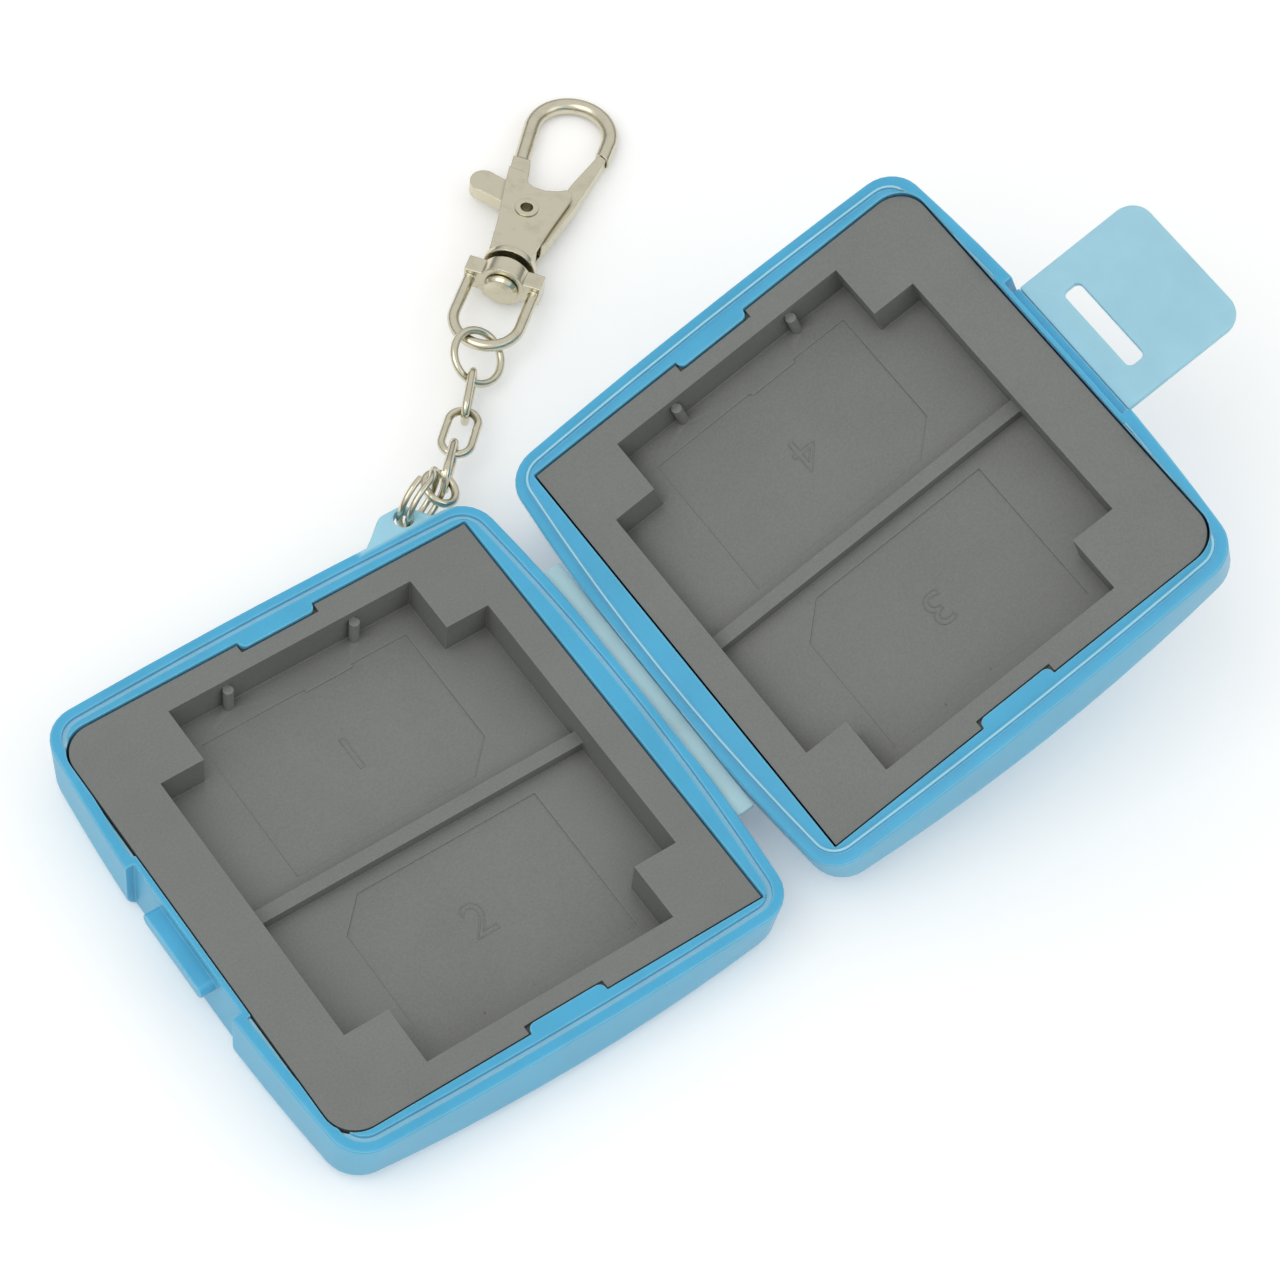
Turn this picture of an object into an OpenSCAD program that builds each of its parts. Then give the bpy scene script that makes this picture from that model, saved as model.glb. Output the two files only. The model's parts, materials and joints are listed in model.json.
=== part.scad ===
// Memory card case: two moulded shells on a live hinge, a grey card tray in each,
// a latch flap, and a nickel-plated chain with a swivel clip.
// Frame: +X from the base to the lid, +Y along the hinge to the chain, +Z up.
// The origin is at the middle of the base shell's flat back.

/* [Card trays] */
// Long way of the wide card bay
bay_x = 50.9; // [46:0.1:56]
// Short way of the wide card bay
bay_y = 43.2; // [40:0.1:48]
// Short way of the long stick bay, across the hinge
stick_x = 37.7; // [30:0.1:42]
// Long way of the long stick bay, along the hinge
stick_y = 60.6; // [56:0.1:66]
// Depth of the bays
bay_depth = 5.6; // [4:0.1:6.2]
// Tray border on the hinge side
border_hinge = 4.6; // [3:0.1:7]
// Tray border on the latch side
border_latch = 8.1; // [6:0.1:11]
// Tray border at both ends of the stick bay
border_side = 3.8; // [2.8:0.1:6]
// Rounding of the tray's two latch side corners
tray_round = 4.5; // [2:0.1:7]
// Width of the rib between the two card seats
rib_w = 2.1; // [1.2:0.1:3]
// Height of the rib above the bay floor
rib_h = 1.8; // [1:0.1:3]
// Diameter of the two locating posts
post_d = 1.5; // [1:0.1:2.4]
// Height of the posts above the bay floor
post_h = 4.2; // [2:0.1:5]
// Distance between the posts
post_gap = 19.7; // [12:0.1:28]
// Long way of a card seat
seat_x = 32.2; // [28:0.1:35]
// Short way of a card seat
seat_y = 23.4; // [18:0.1:25]
// Distance from the rib's middle to a card seat
seat_start = 3.1; // [2:0.1:4]
// Depth of a card seat in the bay floor
seat_depth = 0.25; // [0.1:0.05:0.5]
// Cut corner of a card seat
seat_cut = 4.5; // [3:0.1:6]
// Length of the side notch in a card seat
seat_notch = 7.4; // [4:0.1:10]

/* [Shells] */
// Height of each shell, back to rim
shell_h = 10.8; // [9.6:0.1:14]
// Thickness of the back under the tray
back_t = 1.8; // [1.2:0.1:2.6]
// How far the rim stands above the tray
rim_up = 0.3; // [0.1:0.05:0.8]
// Rim width on the hinge side
ledge_hinge = 5.25; // [4.65:0.1:7.05]
// Rim width on the latch side
ledge_latch = 2.65; // [2.65:0.1:5.05]
// Rim width on the two other sides
ledge_side = 3.9; // [3:0.1:6]
// Corner radius of the shells
corner_r = 5.2; // [3.5:0.1:8]
// How far the hinge and latch sides bow out
bow_end = 1.5; // [0.4:0.1:2.5]
// How far the other two sides bow out at the rim
bow_rim = 0.5; // [0.2:0.1:2]
// How far the other two sides bow out at the back
bow_back = 1.8; // [0.6:0.1:3]
// Rounding between the walls and the back
back_round = 3.2; // [1.5:0.1:4.5]
// Rounding of the rim's outer edge
rim_round = 0.4; // [0.1:0.05:0.8]
// Distance of the sealing groove from the outer edge
groove_in = 1.9; // [1.4:0.05:2]
// Width of the sealing groove
groove_w = 0.7; // [0.5:0.05:0.8]
// Depth of the sealing groove
groove_d = 0.6; // [0.3:0.05:1]
// Clearance of the sealing bead in its groove, all round
bead_clear = 0.15; // [0.1:0.01:0.2]
// Clearance of the tray in its shell
tray_clear = 0.25; // [0.1:0.05:0.4]
// Length of the tabs that hold the trays in
tab_len = 11.5; // [6:0.1:16]
// Reach of the tabs over the trays
tab_reach = 1; // [0.5:0.1:1.6]
// Thickness of the tabs
tab_t = 1; // [0.7:0.1:1.6]

/* [Hinge] */
// Length of the hinge strip
strip_len = 44.6; // [30:0.1:54]
// Width of the hinge strip between its two bend lines
strip_w = 2.6; // [2:0.1:3.4]
// Thickness of the hinge strip
strip_t = 0.8; // [0.5:0.05:1.2]
// Room left at each thinned bend line
bend_room = 0.1; // [0.05:0.01:0.2]
// Gap between the rims when the case is shut
shut_gap = 0.1; // [0.05:0.01:0.3]
// Tilt of the lid above flat, as it lies open
lid_tilt = 22.2; // [0:0.1:60]

/* [Latch] */
// Middle of the latch along the hinge direction
latch_y = 0.5; // [-4:0.1:4]
// Width of the latch flap
flap_w = 23.5; // [18:0.1:30]
// Length of the latch flap
flap_len = 19.8; // [14:0.1:24]
// Thickness of the latch flap
flap_t = 1; // [0.7:0.05:1.4]
// Corner radius of the latch flap
flap_round = 3.3; // [1:0.1:5]
// Depth of the flap's bend line below the lid's rim
flap_drop = 2.3; // [2:0.1:3]
// Length of the slot in the flap
slot_len = 14.4; // [10:0.1:17]
// Width of the slot in the flap
slot_w = 2.7; // [2:0.1:4]
// Distance of the slot's middle from the bend line
slot_mid = 5.1; // [4.6:0.1:6]
// Play of the catch in the slot, all round
slot_play = 0.3; // [0.2:0.05:0.6]
// Depth of the recess that takes the flap
catch_in = 1.6; // [1.3:0.05:1.75]
// Room at each end of the flap in its recess
catch_room = 0.9; // [0.4:0.1:2]
// How far the catch stands into the slot
catch_bite = 0.9; // [0.5:0.05:1.2]

/* [Chain lug] */
// Place of the lug hole across the hinge
lug_x = 24; // [18:0.1:28]
// Distance of the lug hole from the shell's widest line
lug_out = 1; // [0.9:0.05:2]
// Radius of the lug hole
lug_hole_r = 1.4; // [1.3:0.05:1.6]
// Material outside the lug hole
lug_edge = 0.6; // [0.6:0.05:1.6]
// Length of the lug's root along the rim
lug_root = 11.6; // [9:0.1:13]
// Thickness of the lug
lug_t = 1.6; // [1.2:0.1:2.4]

/* [Chain] */
// Wire diameter of the split ring in the lug
split_wire = 0.9; // [0.8:0.05:0.95]
// Middle radius of the split ring
split_r = 4.4; // [4.2:0.1:4.8]
// Distance between the two windings of the split ring
split_pitch = 1.35; // [1.35:0.05:1.45]
// Outer diameter of the small jump ring
jump_d = 6.1; // [5.6:0.1:6.6]
// Wire diameter of the chain links
link_wire = 1.2; // [1:0.05:1.3]
// Outer length of a chain link
link_len = 9.3; // [8:0.1:10]
// Outer width of a chain link
link_w = 5.4; // [5:0.1:6.2]
// Wire diameter of the round ring
ring_wire = 1.15; // [0.9:0.05:1.3]
// Outer diameter of the round ring
ring_d = 8.9; // [8.4:0.1:10]
// Running gap between linked pieces
link_gap = 0.12; // [0.08:0.01:0.3]

/* [Swivel clip] */
// Wire diameter of the swivel yoke
yoke_wire = 1.7; // [1.4:0.05:1.9]
// Outer width of the swivel yoke
yoke_w = 11.3; // [10.8:0.1:13]
// Length of the yoke, strap to outer end
yoke_len = 15; // [14:0.1:18]
// Thickness of the yoke's strap along the swivel
strap_t = 2.8; // [2:0.1:3.4]
// Height of the yoke's strap
strap_h = 3.4; // [3:0.1:4]
// Radius of the round boss in the strap
boss_r = 3.5; // [3.1:0.1:3.8]
// Radius of the swivel pin
swivel_r = 1.4; // [1:0.05:1.8]
// Running clearance of the swivel pin
swivel_clear = 0.08; // [0.03:0.01:0.1]
// Radius of the swivel pin's head
head_r = 2.5; // [2.2:0.1:3]
// Gap between the yoke's boss and the clip's collar
collar_gap = 0.8; // [0.3:0.1:1.2]
// Radius of the clip's collar
collar_r = 3.9; // [3.6:0.1:4.2]
// Thickness of the clip's collar
collar_t = 1; // [0.8:0.1:1.6]
// Thickness of the clip's body
clip_t = 4.4; // [4:0.1:5]
// Thickness of each cheek of the clip's body
cheek_t = 1; // [0.8:0.05:1.2]
// Width of the body at the collar
body_w0 = 6.8; // [6:0.1:7.4]
// Width of the body at the mouth
body_w1 = 10.8; // [10:0.1:11.4]
// Length of the body, collar to mouth
body_len = 13.4; // [12.6:0.1:14.4]
// Middle radius of the hook's bow
hook_r = 5.8; // [5.3:0.1:6.5]
// Bar diameter of the hook
hook_bar = 2.4; // [2:0.1:2.8]
// Distance from the collar to the middle of the hook's bow
hook_reach = 27.3; // [26:0.1:29]
// Radius of the hollow rivet
rivet_r = 1.25; // [1.15:0.05:1.35]
// Radius of the hole through the rivet
rivet_hole_r = 0.9; // [0.6:0.05:0.95]
// Radius of the rivet's rolled ends
rivet_head_r = 1.7; // [1.6:0.1:2.2]
// Running clearance of the lever on the rivet
rivet_clear = 0.06; // [0.03:0.01:0.1]
// Side clearance of the lever between the cheeks
lever_clear = 0.1; // [0.05:0.01:0.2]
// Length of the thumb lever from the rivet
thumb_len = 9.6; // [9:0.1:11]

/* [Hidden] */
$fn = 48;
eps = 0.01;

// Tray and shell outlines, in the frame of one half with its hinge on +X
tray_x = border_hinge + bay_x + border_latch;
tray_y = stick_y + 2 * border_side;
shell_x = tray_x + ledge_hinge + ledge_latch;
shell_y = tray_y + 2 * ledge_side;
tray_hi = shell_x / 2 - ledge_hinge;
tray_lo = tray_hi - tray_x;
bay_mid = tray_hi - border_hinge - bay_x / 2;
tray_top = shell_h - rim_up;
bay_floor = tray_top - bay_depth;
seat_mid = bay_mid - 0.3;

// Hinge: the shut rims meet with shut_gap between them
hinge_drop = (strip_w - shut_gap) / 2;
hinge_z = shell_h - hinge_drop;
wall_x = shell_x / 2 - 0.45;
hinge_x = wall_x + bend_room;
strip_tilt = lid_tilt / 2;
lid_hinge_x = hinge_x + strip_w * cos(strip_tilt);
lid_hinge_z = hinge_z + strip_w * sin(strip_tilt);

// Latch: the slot in the folded flap lies round the catch
flap_x = shell_x / 2 - 0.15;
flap_z = shell_h - flap_drop;
catch_z = shell_h - (slot_mid - flap_drop - shut_gap);
catch_wall = shell_x / 2 - catch_in;
catch_len = flap_w + 2 * catch_room;

// Chain: headings and rises, taken piece by piece from the lug to the clip
lug_y = shell_y / 2 + lug_out;
lug_z = shell_h - lug_t / 2;
lug_r = lug_hole_r + lug_edge;
function heading(a, up = 0) = [cos(up) * cos(a), cos(up) * sin(a), sin(up)];
function overlap(a, b) = (a + b) / 2 + link_gap;
split_turn = 21.4;
split_room = 0.45;
split_fall = 0.9;
jump_turn = 23.5;
jump_down = 38.9;
jump_roll = 21.7;
jump_rise = -19.1;
turn = [45.4, 41.8, 47.4];
fall_share = [0.578, 0.230, 0.192];
round_turn = 44.1;
round_rise = 11.0;
round_roll = 33.5;
clip_turn = 38.0;
split_mid = [lug_x, lug_y, lug_z] + split_r * heading(split_turn, -split_fall);
jump_in = split_r - overlap(split_wire, link_wire) - split_room;
jump_start = split_mid + jump_in * heading(split_turn, -jump_down);
link_step = link_len - link_wire;
jump_end = jump_start + (jump_d - link_wire) * heading(jump_turn, jump_rise);
start_1 = jump_end - overlap(link_wire, link_wire) * heading(jump_turn, jump_rise);

// The clip lies on its collar and on the end of its hook
collar_s = 3.8;
body_s = collar_s + collar_t;
hook_s = body_s + hook_reach;
hook_t = -0.55;
clip_fall = asin((collar_r - hook_bar / 2) / (hook_s + hook_r - collar_s - collar_t / 2));
clip_z = collar_r * cos(clip_fall) + (collar_s + collar_t) * sin(clip_fall) + 0.02;
strap_s = collar_s - collar_gap - strap_t;
bar_s = strap_s + strap_t - yoke_len + yoke_wire / 2;
bar_z = clip_z - bar_s * sin(clip_fall);
ring_mid_r = (ring_d - ring_wire) / 2;
bar_side = 0.5;
bar_in = 1.77;
bar_ride = 0.18;
ring_z = bar_z - bar_in * tan(round_rise) - bar_ride;

// The three links share the fall from the jump ring to the near side of the round ring
ring_ride = 0.05;
chain_drop = start_1[2] - (ring_z - ring_mid_r * sin(round_rise) - ring_ride);
reach = [link_step - overlap(link_wire, link_wire), link_step - overlap(link_wire, link_wire),
         link_step - overlap(link_wire, ring_wire)];
rise = [for (i = [0:2]) -asin(fall_share[i] * chain_drop / reach[i])];
start_2 = start_1 + reach[0] * heading(turn[0], rise[0]);
start_3 = start_2 + reach[1] * heading(turn[1], rise[1]);
near_3 = start_3 + reach[2] * heading(turn[2], rise[2]);
ring_mid = [near_3[0] + ring_mid_r * cos(round_rise) * cos(round_turn),
            near_3[1] + ring_mid_r * cos(round_rise) * sin(round_turn), ring_z];
bar_back = bar_s * cos(clip_fall);
clip_at = [
    ring_mid[0] + bar_in * cos(round_turn) - bar_side * sin(round_turn) - bar_back * cos(clip_turn),
    ring_mid[1] + bar_in * sin(round_turn) + bar_side * cos(round_turn) - bar_back * sin(clip_turn),
    clip_z];
pivot_in = 9.2;
pivot_s = body_s + pivot_in;
pivot_t = 0.7;
lever_t = clip_t - 2 * cheek_t - 2 * lever_clear;
gate_end_r = 16.2;

// Outline of a half: bowed sides and rounded corners, drawn in by inset
side_steps = 5;
arc_steps = 7;
function quarter(half_x, half_y, bow_x, bow_y, r) = let(
    core_x = half_x - r - bow_x,
    core_y = half_y - r - bow_y,
    lean_x = atan(2 * bow_x / core_y),
    lean_y = atan(2 * bow_y / core_x))
    concat(
        [for (k = [0:side_steps]) let(t = k / side_steps, a = lean_x * t)
            [core_x + bow_x * (1 - t * t) + r * cos(a), core_y * t + r * sin(a)]],
        [for (k = [1:arc_steps - 1]) let(a = lean_x + (90 - lean_x - lean_y) * k / arc_steps)
            [core_x + r * cos(a), core_y + r * sin(a)]],
        [for (k = [0:side_steps]) let(t = 1 - k / side_steps, a = 90 - lean_y * t)
            [core_x * t + r * cos(a), core_y + bow_y * (1 - t * t) + r * sin(a)]]);
function all_round(q) = let(n = len(q)) concat(
    q,
    [for (i = [n - 2:-1:0]) [-q[i][0], q[i][1]]],
    [for (i = [1:n - 1]) -q[i]],
    [for (i = [n - 2:-1:1]) [q[i][0], -q[i][1]]]);
function outline(inset, bow_y) = all_round(quarter(
    shell_x / 2 - inset, shell_y / 2 - inset, bow_end, bow_y, max(corner_r - inset, 0.5)));

module slab(inset, z, bow_y) {
    translate([0, 0, z]) linear_extrude(eps) polygon(outline(inset, bow_y));
}

module shell_body() {
    fillet_steps = 6;
    hull() {
        for (k = [0:fillet_steps]) let(a = 90 * k / fillet_steps, z = back_round * (1 - cos(a)))
            slab(back_round * (1 - sin(a)), z, bow_back + (bow_rim - bow_back) * z / shell_h);
        slab(0, shell_h - rim_round, bow_rim);
        slab(rim_round * 0.3, shell_h - rim_round * 0.3, bow_rim);
        slab(rim_round, shell_h - eps, bow_rim);
    }
}

// Rounded rectangle about the origin
module round_rect(x, y, r) {
    square([x - 2 * r, y], center = true);
    square([x, y - 2 * r], center = true);
    for (i = [-1, 1], j = [-1, 1]) translate([i * (x / 2 - r), j * (y / 2 - r)]) circle(r);
}

module tray_outline(grow) {
    r = tray_round;
    translate([tray_lo - grow + r, -tray_y / 2 - grow]) square([tray_x + 2 * grow - r, tray_y + 2 * grow]);
    translate([tray_lo - grow, -tray_y / 2 - grow + r])
        square([tray_x / 2, tray_y + 2 * grow - 2 * r]);
    for (j = [-1, 1]) translate([tray_lo - grow + r, j * (tray_y / 2 + grow - r)]) circle(r);
}

// Groove or bead line along the rim, open on the hinge side
module rim_line(mid, w, h, reach) {
    intersection() {
        linear_extrude(h) difference() {
            polygon(outline(mid - w / 2, bow_rim));
            polygon(outline(mid + w / 2, bow_rim));
        }
        translate([-shell_x, -shell_y, -h]) cube([shell_x + reach, 2 * shell_y, 3 * h]);
    }
}

// Length of rim at the latch that the groove and the bead leave free
module bead_stop(middle, spare) {
    translate([-shell_x, middle - catch_len / 2 - spare, -shell_h])
        cube([shell_x, catch_len + 2 * spare, 2 * shell_h]);
}

module tab(side) {
    y = tray_y / 2 - tab_reach;
    r = tab_reach;
    for (i = [-1, 1]) translate([bay_mid + i * (tab_len / 2 - r), side * (y + r), shell_h - tab_t])
        cylinder(r = r, h = tab_t);
    translate([bay_mid - tab_len / 2 + r, side > 0 ? y : -y - r, shell_h - tab_t])
        cube([tab_len - 2 * r, r, tab_t]);
    translate([bay_mid - tab_len / 2, side > 0 ? y + r : -y - r - ledge_side / 2, shell_h - tab_t])
        cube([tab_len, ledge_side / 2, tab_t]);
}

// One half's shell; catch_y is the middle of its catch recess
module half_shell(catch_y) {
    difference() {
        shell_body();
        translate([0, 0, back_t]) linear_extrude(shell_h) tray_outline(tray_clear);
        translate([wall_x, -strip_len / 2 - 0.3, -1])
            cube([shell_x, strip_len + 0.6, shell_h + 2]);
        translate([-shell_x, catch_y - catch_len / 2, -1])
            cube([shell_x - catch_wall, catch_len, shell_h + 2]);
    }
    tab(1);
    tab(-1);
}

module tray(post_side) {
    y_notch = tray_y / 2 - tab_reach - tray_clear;
    difference() {
        translate([0, 0, back_t]) linear_extrude(tray_top - back_t) tray_outline(0);
        translate([bay_mid - bay_x / 2, -bay_y / 2, bay_floor]) cube([bay_x, bay_y, shell_h]);
        translate([bay_mid - stick_x / 2, -stick_y / 2, bay_floor]) cube([stick_x, stick_y, shell_h]);
        for (side = [-1, 1]) {
            translate([bay_mid - tab_len / 2 - tray_clear, side > 0 ? y_notch : -y_notch - shell_y,
                       shell_h - tab_t - 0.1])
                cube([tab_len + 2 * tray_clear, shell_y, shell_h]);
            translate([bay_mid, 0, bay_floor - seat_depth]) rotate([0, 0, side > 0 ? 0 : 180])
                card_seat();
        }
    }
    translate([bay_mid - bay_x / 2, -rib_w / 2, bay_floor - eps]) cube([bay_x, rib_w, rib_h + eps]);
    for (i = [-1, 1]) translate([seat_mid + i * post_gap / 2,
                                 post_side * (stick_y / 2 - post_d / 2 + 0.1), bay_floor - eps])
        cylinder(d = post_d, h = post_h + eps);
}

// Shallow seat of a card, with its cut corner at the rib and a side notch
module card_seat() {
    x0 = seat_mid - bay_mid - seat_x / 2;
    x1 = x0 + seat_x;
    y1 = seat_start + seat_y;
    notch_in = 0.5;
    notch_x = x0 + seat_x / 2;
    linear_extrude(shell_h) polygon([
        [x0, seat_start], [x1 - seat_cut, seat_start], [x1, seat_start + seat_cut], [x1, y1],
        [notch_x + seat_notch, y1], [notch_x + seat_notch, y1 - notch_in],
        [notch_x, y1 - notch_in], [notch_x, y1], [x0, y1]]);
}

module base_shell() {
    color([0.45, 0.68, 0.83]) difference() {
        union() {
            half_shell(latch_y);
            catch();
            lug();
        }
        translate([lug_x, lug_y, lug_z - lug_t]) cylinder(r = lug_hole_r, h = 2 * lug_t);
        translate([0, 0, shell_h - groove_d]) difference() {
            rim_line(groove_in, groove_w, 2 * groove_d, shell_x / 2 + lug_x);
            bead_stop(latch_y, 1);
        }
    }
}

module catch() {
    bite = flap_x + catch_bite;
    h = slot_w - 2 * slot_play;
    l = slot_len - 2 * slot_play;
    translate([-bite, latch_y, catch_z]) rotate([0, 90, 0])
        linear_extrude(bite - catch_wall + 0.3) {
            square([h, l - h], center = true);
            for (j = [-1, 1]) translate([0, j * (l - h) / 2]) circle(d = h);
        }
}

module lug() {
    translate([0, 0, shell_h - lug_t]) hull() {
        translate([lug_x, lug_y, 0]) cylinder(r = lug_r, h = lug_t, $fn = 32);
        translate([lug_x - lug_r, lug_y, 0]) cylinder(r = lug_r, h = lug_t, $fn = 32);
        translate([lug_x - 0.67 * lug_root, shell_y / 2 - 1.8, 0]) cube([lug_root, 0.5, lug_t]);
    }
}

module base_tray() {
    color([0.47, 0.48, 0.47]) tray(1);
}

module hinge_strip() {
    color([0.66, 0.8, 0.83]) translate([hinge_x, 0, hinge_z]) rotate([0, -strip_tilt, 0])
        translate([0, -strip_len / 2, -strip_t]) cube([strip_w, strip_len, strip_t]);
}

// Takes one half's frame to where the lid lies
module as_lid() {
    translate([lid_hinge_x, 0, lid_hinge_z]) rotate([0, -lid_tilt, 0])
        translate([hinge_x, 0, -hinge_z]) rotate([0, 0, 180]) children();
}

module lid_shell() {
    color([0.45, 0.68, 0.83]) as_lid() {
        half_shell(-latch_y);
        translate([0, 0, shell_h - eps]) difference() {
            rim_line(groove_in, groove_w - 2 * bead_clear, groove_d + shut_gap - bead_clear + eps,
                     shell_x / 2 + lug_x - 4);
            bead_stop(-latch_y, 1.5);
            translate([0, 0, -1]) linear_extrude(shell_h) tray_outline(tray_clear + bead_clear);
        }
        translate([-flap_x + bend_room, -latch_y - flap_w / 2, flap_z - flap_t])
            cube([flap_x - catch_wall - bend_room + 0.3, flap_w, flap_t]);
    }
}

module lid_tray() {
    color([0.47, 0.48, 0.47]) as_lid() tray(-1);
}

module latch_flap() {
    r = flap_round;
    color([0.63, 0.81, 0.87]) as_lid() translate([-flap_x, -latch_y, flap_z - flap_t])
        linear_extrude(flap_t) difference() {
            union() {
                translate([-flap_len + r, -flap_w / 2]) square([flap_len - r, flap_w]);
                translate([-flap_len, -flap_w / 2 + r]) square([flap_len / 2, flap_w - 2 * r]);
                for (j = [-1, 1]) translate([-flap_len + r, j * (flap_w / 2 - r)]) circle(r);
            }
            translate([-slot_mid, 0]) round_rect(slot_w, slot_len, 0.9);
        }
}

// Split ring: one wire wound twice, its two ends apart from the crossing
split_sides = 8;
split_rings = 48;
split_from = 25;
split_to = 695;
function split_shift(a) = split_pitch * (a < 335 ? -0.5 : a > 385 ? 0.5 : -0.5 * cos((a - 335) * 3.6));
function split_at(a) = [split_r * cos(a), split_r * sin(a), split_shift(a)];
function tube_ring(c, d, r, sides) = let(
    side = cross(d, [0, 0, 1]),
    u = side / norm(side),
    v = cross(u, d))
    [for (k = [0:sides - 1]) c + r * (cos(360 * k / sides) * u + sin(360 * k / sides) * v)];
split_path = [for (k = [0:split_rings]) split_at(split_from + (split_to - split_from) * k / split_rings)];
function along(p, i) = let(d = p[min(i + 1, len(p) - 1)] - p[max(i - 1, 0)]) d / norm(d);

module tube(path, r, sides) {
    n = len(path);
    points = [for (i = [0:n - 1]) each tube_ring(path[i], along(path, i), r, sides)];
    walls = [for (i = [0:n - 2], k = [0:sides - 1]) let(a = i * sides + k, b = i * sides + (k + 1) % sides)
        each [[a, b, b + sides], [a, b + sides, a + sides]]];
    polyhedron(points, concat(
        [[for (k = [sides - 1:-1:0]) k]], walls, [[for (k = [0:sides - 1]) (n - 1) * sides + k]]));
}

module lug_ring() {
    color([0.78, 0.77, 0.69]) translate(split_mid) rotate([0, 0, split_turn]) rotate([90, 0, 0])
        rotate([0, 0, split_cross]) tube(split_path, split_wire / 2, split_sides);
}
split_cross = 60;
split_gap = min([for (i = [0:split_rings], j = [0:split_rings]) if (abs(i - j) > 10)
    norm(split_path[i] - split_path[j])]) - split_wire;
echo(split_ring_gap = split_gap);

// Turns a piece that starts at the origin along +X to its place in the chain
module place(p, a, up, roll) {
    translate(p) rotate([0, 0, a]) rotate([0, -up, 0]) rotate([roll, 0, 0]) children();
}

module ring(d, wire) {
    mid_r = (d - wire) / 2;
    translate([mid_r, 0, 0]) rotate_extrude() translate([mid_r, 0]) circle(d = wire, $fn = 32);
}

module link() {
    r = (link_w - link_wire) / 2;
    l = link_len - link_w;
    translate([r, 0, 0]) rotate([0, 0, 90]) rotate_extrude(angle = 180)
        translate([r, 0]) circle(d = link_wire, $fn = 32);
    translate([r + l, 0, 0]) rotate([0, 0, -90]) rotate_extrude(angle = 180)
        translate([r, 0]) circle(d = link_wire, $fn = 32);
    for (j = [-1, 1]) translate([r, j * r, 0]) rotate([0, 90, 0])
        cylinder(d = link_wire, h = l, $fn = 32);
}

module jump_ring() {
    color([0.78, 0.77, 0.69]) place(jump_start, jump_turn, jump_rise, jump_roll) ring(jump_d, link_wire);
}

module chain_link_1() {
    color([0.78, 0.77, 0.69]) place(start_1, turn[0], rise[0], 90) link();
}

module chain_link_2() {
    color([0.78, 0.77, 0.69]) place(start_2, turn[1], rise[1], 0) link();
}

module chain_link_3() {
    color([0.78, 0.77, 0.69]) place(start_3, turn[2], rise[2], 90) link();
}

module round_ring() {
    color([0.78, 0.77, 0.69]) place(ring_mid - ring_mid_r * heading(round_turn, round_rise),
        round_turn, round_rise, round_roll) ring(ring_d, ring_wire);
}

// Clip frame: +X from the yoke to the hook, +Y to the thumb lever's side, +Z up
module as_clip() {
    translate(clip_at) rotate([0, 0, clip_turn]) rotate([0, clip_fall, 0]) children();
}

module swivel_yoke() {
    r = (yoke_w - yoke_wire) / 2;
    leg = strap_s + strap_t - (bar_s + r);
    color([0.78, 0.77, 0.69]) as_clip() difference() {
        union() {
            translate([bar_s + r, 0, 0]) rotate([0, 0, 90]) rotate_extrude(angle = 180)
                translate([r, 0]) circle(d = yoke_wire, $fn = 32);
            for (j = [-1, 1]) translate([bar_s + r, j * r, 0]) rotate([0, 90, 0])
                cylinder(d = yoke_wire, h = leg, $fn = 32);
            translate([strap_s, -yoke_w / 2, -strap_h / 2]) cube([strap_t, yoke_w, strap_h]);
            translate([strap_s, 0, 0]) rotate([0, 90, 0]) cylinder(r = boss_r, h = strap_t);
        }
        translate([strap_s - 1, 0, 0]) rotate([0, 90, 0])
            cylinder(r = swivel_r + swivel_clear, h = strap_t + 2);
    }
}

module swivel_rivet() {
    head_t = 1.2;
    color([0.78, 0.77, 0.69]) as_clip() translate([strap_s - link_gap, 0, 0]) rotate([0, 90, 0]) {
        cylinder(r = swivel_r, h = body_s - strap_s + link_gap);
        rotate_extrude() polygon([
            [0, 0], [head_r, 0], [head_r, -head_t * 0.35], [head_r * 0.86, -head_t * 0.72],
            [head_r * 0.5, -head_t * 0.94], [0, -head_t]]);
    }
}

module clip_body() {
    color([0.78, 0.77, 0.69]) as_clip() difference() {
        union() {
            translate([collar_s, 0, 0]) rotate([0, 90, 0]) cylinder(r = collar_r, h = collar_t);
            difference() {
                translate([0, 0, -clip_t / 2]) linear_extrude(clip_t) body_side();
                translate([0, 0, -clip_t / 2 + cheek_t]) linear_extrude(clip_t - 2 * cheek_t) lever_room();
            }
            hook();
        }
        translate([collar_s - 1, 0, 0]) rotate([0, 90, 0]) cylinder(r = swivel_r, h = collar_t + 1);
        translate([pivot_s, pivot_t, -clip_t]) cylinder(r = rivet_r, h = 2 * clip_t);
    }
}

// Points of the clip's outlines, as shares of the body's length and mouth width
function on_body(points) = [for (p = points) [body_s + p[0] * body_len, p[1] * body_w1]];

// Side view of the body, with the root of the hook on the lever's side
module body_side() {
    start_s = collar_s + collar_t / 2;
    polygon(concat([[start_s, 0.49 * body_w0]], on_body([
        [0.448, 0.37], [0.993, 0.477], [1.209, 0.509], [1.179, 0.231], [1.052, 0.185],
        [1.015, 0.102], [1.007, -0.069], [1.045, -0.231], [1.097, -0.333], [1.075, -0.426],
        [0.981, -0.44], [0.567, -0.347], [0.164, -0.273]]), [[start_s, -0.41 * body_w0]]));
}

// Room between the cheeks for the lever and its swing, shut off by the hook's root
module lever_room() {
    polygon(on_body([
        [0.194, -0.83], [0.194, -0.185], [0.358, 0.037], [0.418, 0.278], [0.418, 0.83],
        [1.1, 0.83], [1.1, 0.15], [1.284, 0.13], [1.284, -0.83]]));
}

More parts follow.
